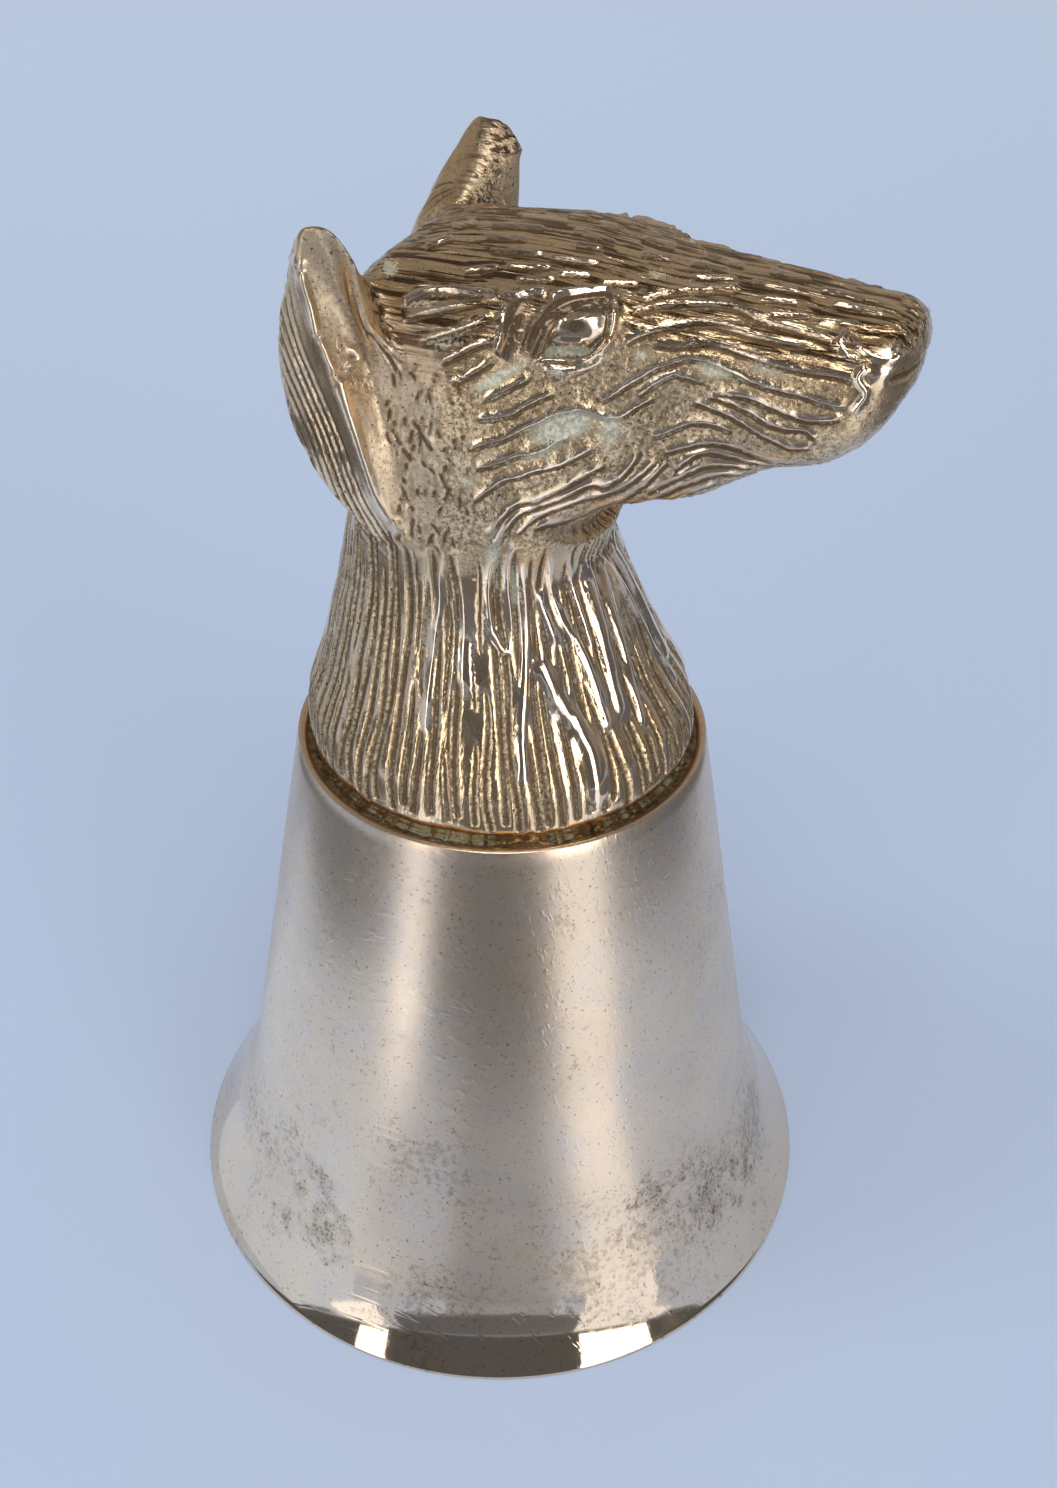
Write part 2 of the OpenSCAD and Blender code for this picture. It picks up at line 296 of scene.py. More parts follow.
nosePlan = {
    "lines": [
        ([(849, 328), (842, 336), (840, 346), (847, 355), (860, 361)], 4.0, 0.32),
        ([(852, 333), (856, 345), (868, 354), (880, 360), (893, 361), (903, 352)], 3.5, 0.26),
        ([(869, 366), (860, 371), (857, 378), (860, 385), (866, 390), (864, 397), (858, 404),
          (850, 414)], 4.0, 0.42),
        ([(893, 372), (900, 379), (915, 370), (930, 358)], 2.4, -0.15),
        ([(816, 322), (840, 321), (862, 323)], 2.4, 0.18),
    ],
    "nostril": (872, 335, 20, 7, 0.5),
    "wing": (893, 354, 13, 9, 0.3),
    "pad": (881, 378, 18, 11, 0.16),
    "tip": {"height": 107.9, "width": 0.32, "depth": 0.26, "from": (33.6, 34.6)},  # cut above the lip, mm
}
throatLines = [  # polished strands, line, half width in pixels, rise in mm
    ([(582, 556), (588, 578), (594, 600), (601, 625), (608, 655), (616, 690), (628, 730)], 7, 0.42),
    ([(523, 560), (522, 580), (524, 605), (526, 640), (524, 680), (521, 730), (524, 790)], 6, 0.34),
    ([(540, 580), (540, 600), (547, 622), (556, 642), (562, 655)], 5, 0.34),
    ([(484, 610), (494, 640), (506, 655), (514, 640)], 5, 0.28),
    ([(528, 655), (538, 660), (548, 678), (560, 703), (576, 722), (592, 748), (600, 780),
      (596, 812)], 10, 0.36),
    ([(556, 590), (562, 618), (576, 640), (590, 665), (600, 700), (612, 740)], 4, 0.25),
    ([(466, 585), (468, 620), (464, 660), (466, 700)], 9, 0.2),
    ([(500, 536), (491, 556), (487, 584), (489, 616), (496, 650)], 3.5, 0.24),
    ([(518, 532), (509, 552), (506, 580), (509, 606), (512, 640)], 3.5, 0.24),
    ([(552, 548), (549, 570), (551, 594), (562, 622), (578, 652)], 3.5, 0.26),
    ([(568, 546), (568, 566), (574, 592), (584, 622), (596, 660)], 3.5, 0.26),
    ([(598, 552), (602, 572), (610, 600), (622, 640), (634, 690), (648, 740)], 4.0, 0.28),
    ([(436, 560), (440, 590), (438, 630), (430, 680), (424, 740)], 4.0, 0.18),
]
skullLines = [
    [(485, 236), (528, 239)], [(489, 250), (545, 254)], [(548, 256), (600, 263)], [(505, 265), (552, 267)],
    [(462, 270), (480, 268), (500, 266)], [(558, 273), (592, 274)], [(515, 212), (540, 217), (570, 221)],
    [(490, 225), (512, 225), (545, 228)], [(573, 229), (600, 238), (617, 243)], [(575, 243), (603, 249)],
    [(598, 223), (622, 231)], [(620, 221), (652, 229)], [(640, 238), (660, 242), (678, 247)],
    [(640, 253), (672, 259)], [(556, 213), (604, 218)], [(630, 213), (672, 222)], [(652, 226), (700, 244)],
    [(704, 255), (747, 266)], [(769, 270), (812, 280)], [(760, 298), (799, 302)], [(832, 302), (884, 314)],
    [(765, 314), (810, 316)], [(750, 281), (800, 291)], [(690, 262), (730, 270)], [(720, 247), (770, 260)],
    [(790, 265), (836, 276)], [(820, 289), (866, 299)], [(855, 284), (905, 296)], [(600, 282), (640, 283)],
    [(515, 279), (556, 278)], [(450, 228), (478, 222)], [(425, 245), (455, 237)], [(690, 277), (738, 279)],
]

cameraSpot = shotAxes()[0]


def sight(places, ways):  # photo pixels and how much a face turns to the camera
    look = cameraSpot - places
    return toPixel(places), (ways * look).sum(1) / np.linalg.norm(look, axis=1)


def mirrored(places):  # the far half laid over the near one
    flip = np.ones((len(places), 3))
    flip[places[:, 1] > 0, 1] = -1
    return flip


def weigh(obj, name, weights):
    group = obj.vertex_groups.new(name=name)
    for i in np.nonzero(weights > 1e-4)[0].tolist():
        group.add([i], weights[i], "REPLACE")


# the front edge of the ear runs into the cheek
flip = mirrored(coords(head))
pixels, facing = sight(coords(head) * flip, normals(head) * flip)
gap, end = along(pixels, earPlan["web"])
weights = np.exp(-(gap / earPlan["webWidth"]) ** 4) * ease(-0.1, 0.1, facing) * ease(0, 10, end)
weigh(head, "web", weights * (coords(head)[:, 2] > earPlan["webFoot"]))
modify(head, "SMOOTH", factor=0.5, iterations=earPlan["webRounds"], vertex_group="web")
pick(head)
bpy.ops.object.vertex_group_remove(all=True)

points = coords(head)
outward = normals(head)
flip = mirrored(points)
nearSide = points * flip
nearOut = outward * flip
pixels, facing = sight(nearSide, nearOut)
seen = ease(0.0, 0.2, facing)
truePixels, trueFacing = sight(points, outward)
dice = np.random.default_rng(11)
x, y, z = nearSide.T


def stroke(line, width, rise, above=1.0, under=0.0, fade=10, power=2.0, spots=pixels, shown=seen):
    pts = np.array(line)
    margin = 6 * width * above
    inside = np.all((spots > pts.min(0) - margin) & (spots < pts.max(0) + margin), axis=1) & (shown > 0)
    out = np.zeros(len(spots))
    d, end = along(spots[inside], line)
    flank = np.where(d < 0, width * above, width)
    shape = rise * np.exp(-np.abs(d / flank) ** power)
    shape -= under * np.exp(-((d - 1.7 * width) / (0.8 * width)) ** 2)  # the cut below the crest
    out[inside] = shape * ease(0, fade, end) * shown[inside]
    return out


def fromOval(plan):  # distance from the middle of an oval in the photo, one on its edge
    return np.hypot((pixels[:, 0] - plan[0]) / plan[2], (pixels[:, 1] - plan[1]) / plan[3])


def oval(plan, power=2.0):  # a round swelling
    return plan[4] * np.exp(-fromOval(plan) ** power) * seen


def ripple(places, height, spacing, count=14):  # soft random bumps of one size, mm
    ways = dice.normal(size=(count, 3))
    ways *= (2 * math.pi / spacing / np.linalg.norm(ways, axis=1) * dice.uniform(0.7, 1.3, count))[:, None]
    waves = np.sin(places @ ways.T + dice.uniform(0, 6.28, count))
    return height * (waves.sum(1) / math.sqrt(count / 2))


def within(polygon, soft):  # one inside a closed line, eased over its edge
    corners = np.array(polygon, float)
    odd = np.zeros(len(pixels), bool)
    for a, b in zip(corners, np.roll(corners, -1, axis=0)):
        cross = (a[1] > pixels[:, 1]) != (b[1] > pixels[:, 1])
        reach = (b[0] - a[0]) * (pixels[:, 1] - a[1]) / (b[1] - a[1] + 1e-9) + a[0]
        odd ^= cross & (pixels[:, 0] < reach)
    gap = np.abs(along(pixels, polygon + polygon[:1])[0])
    return ease(-soft, soft, np.where(odd, gap, -gap)) * seen


def share(values, full):  # 0 to 1
    return np.clip(values / full, 0, 1)


# fur of cheek and muzzle
onHead = ease(78, 82, z) * ease(-13, -10, x)
furShown = ease(0.03, 0.22, facing)
crests = np.zeros(len(points))
cuts = np.zeros(len(points))
for line in cheekLines + muzzleLines:
    lock = stroke(line, shown=furShown, **furPlan)
    crests = np.maximum(crests, lock)
    cuts = np.minimum(cuts, lock)
for _ in range(fleckPlan["count"]):
    start = np.array([dice.uniform(*fleckPlan["across"]), dice.uniform(*fleckPlan["down"])])
    heading = math.radians(dice.uniform(*fleckPlan["heading"]))
    way = dice.uniform(*fleckPlan["length"]) * np.array([math.cos(heading), math.sin(heading)])
    bend = dice.uniform(-fleckPlan["bend"], fleckPlan["bend"], 2)
    line = [start, start + way / 2 + bend, start + way]
    fleck = stroke(line, rise=dice.uniform(*fleckPlan["rise"]), **fleckPlan["cut"])
    crests = np.maximum(crests, fleck)
    cuts = np.minimum(cuts, fleck)
relief = (crests + cuts) * onHead

# eye: a ball in an almond opening between folded lids
opening = within(eyePlan["opening"], eyePlan["soft"]) * onHead
relief = relief * (1 - opening) - eyePlan["depth"] * opening
ball = fromOval(eyePlan["ball"])
relief += eyePlan["ball"][4] * np.sqrt(np.clip(1 - ball ** 2, 0, 1)) * opening
rolls = np.zeros(len(points))
for line, width, rise in eyePlan["rolls"]:
    rolls = np.maximum(rolls, stroke(line, width, rise, fade=6, power=2.2) * onHead)
relief += rolls
features = np.zeros(len(points))
for line, width, rise in eyePlan["lines"] + nosePlan["lines"]:
    features += stroke(line, width, rise, fade=6) * onHead

# nose: nostril, its wing and the lip
relief -= oval(nosePlan["nostril"], 3.0)
features += oval(nosePlan["wing"]) + oval(nosePlan["pad"], 3.0)
relief += features
tip = nosePlan["tip"]
tipCut = np.exp(-((z - tip["height"]) / tip["width"]) ** 2) * ease(*tip["from"], x)
relief -= tip["depth"] * tipCut

# neck: long grooves with rounded lower tips between polished strips
neckPlan = {  # grooves on one half, mm
    "count": 43,
    "foot": 61.0,
    "top": 90.0,
    "back": 108.0,
    "leanOver": 23.0,
    "leanBack": 1.5,
    "radius": 19.0,
    "start": (62.8, 64.4),
    "long": (84, 110),
    "short": (69, 78),
    "width": (0.3, 0.46),
    "depth": (0.26, 0.38),
    "second": 0.24,  # depth of the cut above a short groove
}
lean = np.clip((z - neckPlan["foot"]) / neckPlan["leanOver"], 0, 1.2) * -neckPlan["leanBack"]
angle = np.arctan2(y, x - lean)
radius = np.hypot(x - lean, y)
reachUp = neckPlan["top"] + (neckPlan["back"] - neckPlan["top"]) * ease(-4, -10, x)
strands = np.zeros(len(points))
for line, width, rise in throatLines:
    strands = np.maximum(strands, stroke(line, width, rise, fade=24, power=2.6))
grooves = np.zeros(len(points))
for i in range(neckPlan["count"]):
    middle = -math.pi * (i + dice.uniform(0.3, 0.7)) / neckPlan["count"]
    low = dice.uniform(*neckPlan["start"])
    isLong = dice.uniform() < 0.5
    high = dice.uniform(*neckPlan["long" if isLong else "short"])
    wave = dice.uniform(0.0, 0.02)
    sway = wave * np.sin((z - neckPlan["foot"]) * dice.uniform(0.25, 0.5) + dice.uniform(0, 6.28))
    d = radius * (angle - middle - sway)
    width = dice.uniform(*neckPlan["width"]) * np.clip(radius / neckPlan["radius"], 0.75, 1)
    up = np.clip((z - low) / 0.7, 0, 1)  # rounded end
    width = width * np.sqrt(np.clip(1 - (1 - up) ** 2, 0.02, 1)) * (1 - 0.5 * ease(high - 7, high, z))
    window = ease(low, low + 0.3, z) * (1 - ease(high - 2, high, z))
    depth = dice.uniform(*neckPlan["depth"])
    grooves = np.maximum(grooves, depth * np.exp(-np.abs(d / width) ** 2.6) * window)
    again = high + dice.uniform(1, 3)
    if not isLong:
        window = ease(again, again + 1, z) * (1 - ease(again + 8, again + 12, z))
        grooves = np.maximum(grooves, neckPlan["second"] * np.exp(-np.abs(d / width / 0.8) ** 4) * window)
onNeck = 1 - ease(reachUp - 4, reachUp + 1, z)
strandShare = share(strands, 0.2)
grooves *= onNeck * (1 - 0.92 * strandShare)
relief += strands * (1 - ease(88, 92, z)) - grooves

# skull and bridge of the nose: short strokes that run to the nose, random where the photo hides them
dashPlan = {"width": 1.8, "rise": 0.28, "under": 0.14, "fade": 4}
hairPlan = {  # mm, across as a share of the half width
    "count": 60,
    "along": (-8, 31),
    "across": (0, 0.95),
    "half": (1.5, 3.6),
    "width": 0.2,
    "rise": 0.14,
    "cut": 0.1,
    "beside": 0.4,
    "skull": ([-12, -4, 5, 12, 20, 30, 36], [12, 11.5, 10.5, 8.5, 6.2, 5.2, 4]),  # half width at x
}
dashes = np.zeros(len(points))
dashShown = ease(0.1, 0.36, trueFacing) * ease(-14, -10, x)
for line in skullLines:
    dashes += stroke(line, spots=truePixels, shown=dashShown, **dashPlan)
halfTop = np.interp(x, *hairPlan["skull"])
hidden = ease(0.3, 0.6, outward[:, 2]) * ease(103, 106, z) * ease(-10, -6, x) * (1 - ease(30, 33, x))
hidden *= 1 - ease(0.2, 0.5, trueFacing)
for _ in range(hairPlan["count"]):
    middle = dice.uniform(*hairPlan["along"])
    aside = dice.uniform(*hairPlan["across"])
    half = dice.uniform(*hairPlan["half"])
    d = (-y / halfTop - aside) * halfTop
    window = 1 - ease(half * 0.6, half, np.abs(x - middle))
    ridge = hairPlan["rise"] * np.exp(-(d / hairPlan["width"]) ** 2)
    beside = hairPlan["cut"] * np.exp(-((d + hairPlan["beside"]) / hairPlan["width"]) ** 2)
    dashes += (ridge - beside) * window * hidden
relief += dashes

# ears: long strokes on the back, a rolled rim round a smooth hollow
earTurn = np.arctan2(y - earPlan["root"][1], x - earPlan["root"][0])
onEar = ease(-4, -6, x) * ease(8.5, 10, -y) * ease(85, 89, z)
behind, _ = along(pixels, earPlan["edge"])  # above zero left of the edge
backward = ease(0.05, 0.35, -nearOut[:, 0] + 0.15 * nearOut[:, 1])
earBack = onEar * np.maximum(backward, ease(0, 4, behind) * seen)
nearFur = np.sin(behind * 1.1 + 1.2 * np.sin(z * 0.25))
fur = np.where(seen > 0.3, nearFur, np.sin(earTurn * 19 + np.sin(z * 0.3)))
relief += earPlan["fur"] * fur * earBack * (1 - ease(110, 114, z)) * ease(5, 11, np.abs(behind))
earFront = ease(9.5, 11, -y) * ease(84, 87, z) * (1 - earBack) * ease(2, -1, x)
rims = np.zeros(len(points))
for line, width, rise in earPlan["lines"]:
    rims = np.maximum(rims, stroke(line, width, rise, fade=6) * ease(-2, -5, x))
relief += rims

# uneven casting, rough ground between the crests, polish on what stands out
castPlan = {"sway": (0.02, 3.0), "lumps": (0.025, 1.2), "grain": (0.03, 0.7)}  # height and spacing, mm
foot = 1 - ease(62, 63, z)
raised = share(features, 0.25)
raised += np.clip(crests / 0.08 - 2.4, 0, 1) * onHead
raised += share(rims, 0.2)
raised += share(dashes, 0.12) + share(rolls, 0.2) + opening * (1 - ease(0.8, 1.0, ball))
polish = np.clip(strandShare + foot + raised + 0.25 * onNeck * (1 - share(grooves, 0.15)), 0, 1)
mane = np.clip(onNeck * (1 - strandShare) + earBack + 0.5 * earFront, 0, 1) * (1 - foot)
nose = ease(29, 33, x)
cast = ease(78, 82, z) * ease(-17, -12, x) * (1 - 0.8 * onNeck) * (1 - earBack)
ground = np.clip(cast * 0.85 * (1 - 0.4 * earFront) + grooves / 0.2, 0, 1)
ground *= 1 - np.clip(raised + foot, 0, 1)
ground *= (1 - 0.5 * nose) * (1 - 0.95 * opening)
streaks = ease(0.15, 0.5, outward[:, 2]) * ease(100, 104, z) * ease(-11, -7, x) * (1 - opening)
ground *= 1 - 0.75 * streaks
uneven = ground * cast * (1 - earFront)
sway = ripple(nearSide, *castPlan["sway"])
lumps = ripple(nearSide, *castPlan["lumps"]) + ripple(nearSide, *castPlan["grain"])
relief += sway + lumps * uneven
print("relief", relief.min().round(2), relief.max().round(2))


def displace(obj, heights):  # raised and sunken weights, then two displace modifiers, mm
    for name, part, sign in (("raised", heights, 1), ("sunken", -heights, -1)):
        most = part.max()
        weigh(obj, name, part / most)
        reach = sign * most / 1000
        modify(obj, "DISPLACE", direction="NORMAL", strength=reach, mid_level=0, vertex_group=name)
    pick(obj)
    bpy.ops.object.vertex_group_remove(all=True)


displace(head, relief)
flatEdges = np.empty(len(head.data.edges) * 2, np.int32)
head.data.edges.foreach_get("vertices", flatEdges)
edgeEnds = flatEdges.reshape(-1, 2)
degree = np.bincount(flatEdges, minlength=len(points)).clip(1)


def spread(values, rounds):  # blurs over the surface
    for _ in range(rounds):
        total = np.bincount(edgeEnds[:, 0], values[edgeEnds[:, 1]], len(values))
        total += np.bincount(edgeEnds[:, 1], values[edgeEnds[:, 0]], len(values))
        values = 0.5 * values + 0.5 * total / degree
    return values


# where the dirt, the painted shade, the verdigris and the polish lie
formed = coords(head)
outward = normals(head)
blurred = np.stack([spread(formed[:, k], headPlan["blur"]) for k in range(3)], axis=1)
sink = ((blurred - formed) * outward).sum(1)  # above zero in hollows
greenPatches = [  # centre and half size in pixels, tilt in degrees, strength
    ((500, 377), (30, 8), -26, 1.0), ((560, 428), (34, 14), -24, 1.0), ((566, 352), (24, 5), -4, 0.8),
    ((445, 345), (24, 8), -14, 0.7), ((425, 305), (26, 5), -8, 0.7), ((390, 268), (12, 16), 0, 0.7),
    ((715, 372), (18, 8), 15, 0.8), ((612, 430), (14, 20), 0, 0.8), ((480, 460), (22, 9), -25, 0.6),
    ((540, 455), (30, 6), -20, 0.6), ((492, 560), (10, 26), 0, 0.6), ((520, 590), (10, 20), 0, 0.5),
    ((770, 372), (24, 6), 16, 0.5), ((655, 275), (18, 9), 0, 0.6), ((470, 480), (14, 10), 0, 0.6),
    ((640, 355), (8, 8), 0, 0.7), ((885, 348), (26, 9), -10, 0.5), ((425, 640), (5, 60), 0, 0.4),
]
green = np.zeros(len(points))
for (px, py), (a, b), tilt, force in greenPatches:
    dx, dy = pixels[:, 0] - px, pixels[:, 1] - py
    c, s = math.cos(math.radians(tilt)), math.sin(math.radians(tilt))
    far = ((dx * c + dy * s) / a) ** 2 + ((dy * c - dx * s) / b) ** 2
    green = np.maximum(green, force * np.exp(-far))
pupil = eyePlan["pupil"][4] * np.exp(-fromOval(eyePlan["pupil"]) ** 4) * opening
# painted shade: the rolled upper lids and the eye's opening round the ball are painted dark, in the same
# layer as the dirt in the hollows
paintedShade = np.maximum(0.8 * share(rolls, 0.25), 0.45 * opening * ease(0.5, 0.9, ball))
paintedShade *= 1 - share(features, 0.2)
# dirt and painted shade: the cuts below the crests, above the lip, beside the skull's strokes, between the
# ear's strokes and in the neck's grooves are painted dark
cut = 0.8 * tipCut + np.clip(-cuts / 0.16 - 0.2, 0, 0.8) * onHead + 0.6 * share(-dashes, 0.1)
cut += 0.5 * np.clip(-fur, 0, 1) * earBack
paint(head, "hollow", np.maximum(np.clip(sink / 0.16, -1, 1), np.maximum(pupil, paintedShade)))
paint(head, "green", green * ease(0, 0.2, facing))
paint(head, "ground", spread(ground, 2))
paint(head, "polish", spread(polish, 2))
paint(head, "streaks", streaks)
paint(head, "mane", mane)
paint(head, "cut", cut + 0.35 * np.clip(grooves / 0.22 - 0.2, 0, 1))
paint(head, "ear", earFront)
sides = len(head.data.polygons) * 2
if sides > headPlan["triangles"]:
    modify(head, "DECIMATE", ratio=headPlan["triangles"] / sides * 0.998)
pick(head)
bpy.ops.object.shade_smooth()
print("head relief", sum(len(p.vertices) - 2 for p in head.data.polygons), "triangles")


# cup: the bell, thicker nowhere than its sheet
cupPlan = {  # mm and degrees
    "lip": 20.7,
    "height": 62.0,
    "sheet": 1.0,
    "flare": 18.0,
    "bow": 45.0,
    "lean": 10.0708,
    "land": 0.4,
    "bevel": 0.35,
    "lipRound": {"inward": 0.08, "outward": 0.02, "drop": 0.14},
    "mouthRound": ((-0.2, 0.28), (-0.02, 0.1), (-0.12, 0.0)),  # outward from the corner and height
    "mouthInside": 0.12,
    "rows": 24,
    "steps": 256,
}


def cupProfile(plan):  # radius and height, from the lip down the outside and back up the inside, mm
    lean = math.radians(plan["lean"])
    bend = plan["lip"] + (plan["height"] - plan["flare"]) * math.tan(lean)
    cx, cz = bend + plan["bow"] * math.cos(lean), plan["flare"] + plan["bow"] * math.sin(lean)
    count = plan["rows"]

    def wall(depth):  # a line inside the outer face by depth
        rows = []
        fall = plan["flare"] - depth * math.sin(lean)
        for k in range(count + 1):
            height = plan["height"] - (plan["height"] - plan["flare"]) * k / count - depth * math.sin(lean)
            rows.append((bend - depth * math.cos(lean) + (fall - height) * math.tan(lean), height))
        arc = plan["bow"] + depth
        low = math.asin(cz / arc)
        for k in range(1, count + 1):
            turn = lean + (low - lean) * k / count
            rows.append((cx - arc * math.cos(turn), cz - arc * math.sin(turn)))
        return rows

    outer = wall(0)
    inner = wall(plan["sheet"])[::-1]
    lip = plan["lipRound"]
    outer[0] = (outer[0][0] - lip["inward"], plan["height"])
    outer.insert(1, (plan["lip"] + lip["outward"], plan["height"] - lip["drop"]))
    corner = outer.pop()[0]
    outer += [(corner + out, height) for out, height in plan["mouthRound"]]
    inner[0] = (inner[0][0] + plan["mouthInside"], 0.0)
    tip = inner[-1]
    inner[-1] = (tip[0] + plan["bevel"] * math.tan(lean), plan["height"] - plan["bevel"])
    inner.append((plan["lip"] - plan["land"], plan["height"]))
    return outer + inner


def spinUp(name, profile, steps):
    bpy.ops.object.select_all(action="DESELECT")
    bpy.ops.mesh.primitive_plane_add(size=0.001)
    obj = bpy.context.object
    obj.name = name
    bpy.ops.object.mode_set(mode="EDIT")
    bpy.ops.mesh.select_mode(type="VERT")
    bpy.ops.mesh.select_all(action="SELECT")
    bpy.ops.mesh.merge(type="CENTER")
    bpy.ops.transform.translate(value=(profile[0][0] / 1000, 0, profile[0][1] / 1000))
    for a, b in zip(profile[:-1], profile[1:]):
        way = ((b[0] - a[0]) / 1000, 0, (b[1] - a[1]) / 1000)
        bpy.ops.mesh.extrude_region_move(TRANSFORM_OT_translate={"value": way})
    bpy.ops.mesh.select_all(action="SELECT")
    bpy.ops.mesh.spin(steps=steps, angle=2 * math.pi, center=(0, 0, 0), axis=(0, 0, 1))
    bpy.ops.mesh.select_all(action="SELECT")
    bpy.ops.mesh.remove_doubles(threshold=1e-7)
    bpy.ops.mesh.normals_make_consistent(inside=False)
    bpy.ops.object.mode_set(mode="OBJECT")
    bpy.ops.object.shade_smooth()
    return obj


profile = cupProfile(cupPlan)
cup = spinUp("cup", profile + profile[:1], cupPlan["steps"])
print("cup", len(cup.data.polygons), "faces")


# solder that fills the groove round the neck, lower at the neck
solderPlan = {  # mm
    "neck": 18.45,
    "lip": 19.74,
    "low": 60.9,
    "atNeck": 61.3,
    "atLip": 61.62,
    "rows": 9,
    "steps": 480,
    "crustUp": (61.0, 61.25),
    "crustOut": (19.5, 19.72),
    "bumps": ((0.05, 0.9), (0.04, 0.5), (0.05, 4)),  # height and spacing
}
rise = solderPlan["atLip"] - solderPlan["atNeck"]
wide = solderPlan["lip"] - solderPlan["neck"]
slope = [k / (solderPlan["rows"] - 1) for k in range(solderPlan["rows"])]
bed = [(solderPlan["lip"], solderPlan["low"]), (solderPlan["neck"], solderPlan["low"])]
bed += [(solderPlan["neck"] + wide * t, solderPlan["atNeck"] + rise * t) for t in slope]
ring = spinUp("solderRing", bed + bed[:1], solderPlan["steps"])
places = coords(ring)
top = ease(*solderPlan["crustUp"], places[:, 2])
top *= 1 - ease(*solderPlan["crustOut"], np.hypot(places[:, 0], places[:, 1]))
displace(ring, sum(ripple(places, *bump) for bump in solderPlan["bumps"]) * top)
pick(ring)
bpy.ops.object.shade_smooth()
print("solder ring", len(ring.data.polygons), "faces")


class Wire:  # a socket that takes part in arithmetic
    def __init__(self, tree, socket):
        self.tree = tree
        self.socket = socket

    def add(self, kind, out=0, settings=None, **inputs):  # any node, inputs by name, spaces as underscores
        node = self.tree.nodes.new(kind)
        for key, value in (settings or {}).items():
            setattr(node, key, value)
        for key, value in inputs.items():
            socket = node.inputs[int(key[1:])] if key[1:].isdigit() else node.inputs[key.replace("_", " ")]
            if isinstance(value, Wire):
                self.tree.links.new(value.socket, socket)
            else:
                socket.default_value = value
        return Wire(self.tree, node.outputs[out])

    def math(self, kind, *others):
        inputs = {"n%d" % (i + 1): other for i, other in enumerate(others)}
        return self.add("ShaderNodeMath", 0, {"operation": kind}, n0=self, **inputs)

    def __add__(self, other):
        return self.math("ADD", other)

    def __sub__(self, other):
        return self.math("SUBTRACT", other)

    def __mul__(self, other):
        return self.math("MULTIPLY", other)

    def __rsub__(self, other):
        return (self * -1.0).math("ADD", other)

    __radd__, __rmul__ = __add__, __mul__

    def step(self, low, high):  # eased from 0 to 1
        eased = {"interpolation_type": "SMOOTHSTEP"}
        return self.add("ShaderNodeMapRange", 0, eased, Value=self, From_Min=low, From_Max=high)

    def blend(self, first, second):  # colours, by this value
        return self.add("ShaderNodeMix", 2, {"data_type": "RGBA"}, n0=self, n6=first, n7=second)

    def noise(self, scale, detail=3.0, rough=0.5):
        return self.add("ShaderNodeTexNoise", Vector=self, Scale=scale, Detail=detail, Roughness=rough)

    def stretch(self, turn, scale):
        return self.add("ShaderNodeMapping", Vector=self, Rotation=turn, Scale=scale)

    def part(self, axis):  # 0, 1 or 2
        return self.add("ShaderNodeSeparateXYZ", axis, Vector=self)

    def layer(self, name):  # values painted on the mesh
        return self.add("ShaderNodeAttribute", 2, {"attribute_name": name})

    def gapTo(self, spot):
        return self.add("ShaderNodeVectorMath", 1, {"operation": "DISTANCE"}, n0=self, n1=spot)

    def bump(self, strength, distance):
        return self.add("ShaderNodeBump", Strength=strength, Distance=distance, Height=self)


def startMaterial(name):
    material = bpy.data.materials.new(name)
    material.use_nodes = True
    tree = material.node_tree
    shader = tree.nodes["Principled BSDF"]
    place = Wire(tree, tree.nodes.new("ShaderNodeTexCoord").outputs["Object"])
    return material, shader, place


def feed(wire, shader, name):
    wire.tree.links.new(wire.socket, shader.inputs[name])


def rgb(*levels):  # picture values to linear
    shares = [v / 255 for v in levels]
    return tuple(v / 12.92 if v <= 0.04045 else ((v + 0.055) / 1.055) ** 2.4 for v in shares) + (1.0,)


# head: polished crests, a brown grainy ground, dirt in the hollows, painted shade on the lids, in the eye
# and in the cuts, verdigris
headLook = {  # pairs of colours are blended
    "metal": (rgb(240, 208, 166), rgb(252, 227, 199)),
    "ground": (rgb(224, 203, 170), rgb(160, 134, 99)),
    "ear": rgb(212, 196, 174),
    "dirtAndShade": rgb(92, 68, 42),
    "speck": rgb(50, 38, 26),
    "green": (rgb(192, 196, 180), rgb(156, 158, 138)),
    "slant": (0.0, 0.12, 0.0),  # of the hair on the skull
    "upright": (0.0, 0.0, 0.0),
    "bump": (0.9, 0.00014),
}
headMaterial, shader, place = startMaterial("headMetal")
hollowWire = place.layer("hollow")
greenWire = place.layer("green")
groundWire = place.layer("ground")
polishWire = place.layer("polish")
streakWire = place.layer("streaks")
cutWire = place.layer("cut")
maneWire = place.layer("mane")
earWire = place.layer("ear")
cloud = place.noise(260.0, 4.0)
grain = place.noise(2600.0, 4.0, 0.6)
pits = place.noise(4600.0, 2.0, 0.5)
hair = place.stretch(headLook["slant"], (70.0, 2300.0, 2300.0)).noise(1.0, 3.0)
dash = place.stretch(headLook["slant"], (120.0, 1500.0, 1500.0)).noise(1.0, 2.0).step(0.56, 0.7)
strand = place.stretch(headLook["upright"], (1500.0, 1500.0, 60.0)).noise(1.0, 3.0)
worn = (polishWire + (cloud - 0.5) * 0.8 - groundWire * 0.3).step(0.0, 0.8)
metal = worn.blend(*headLook["metal"])
patina = (groundWire * 0.8 + (grain - 0.5) * 0.9 - polishWire * 0.6).step(0.05, 0.85)
colour = patina.blend(metal, grain.step(0.42, 0.6).blend(*headLook["ground"]))
colour = (earWire * 0.45).blend(colour, headLook["ear"])
furrow = hair.step(0.47, 0.58) * streakWire * 1.7
furrow = furrow.math("MAXIMUM", strand.step(0.54, 0.68) * maneWire * 0.4)
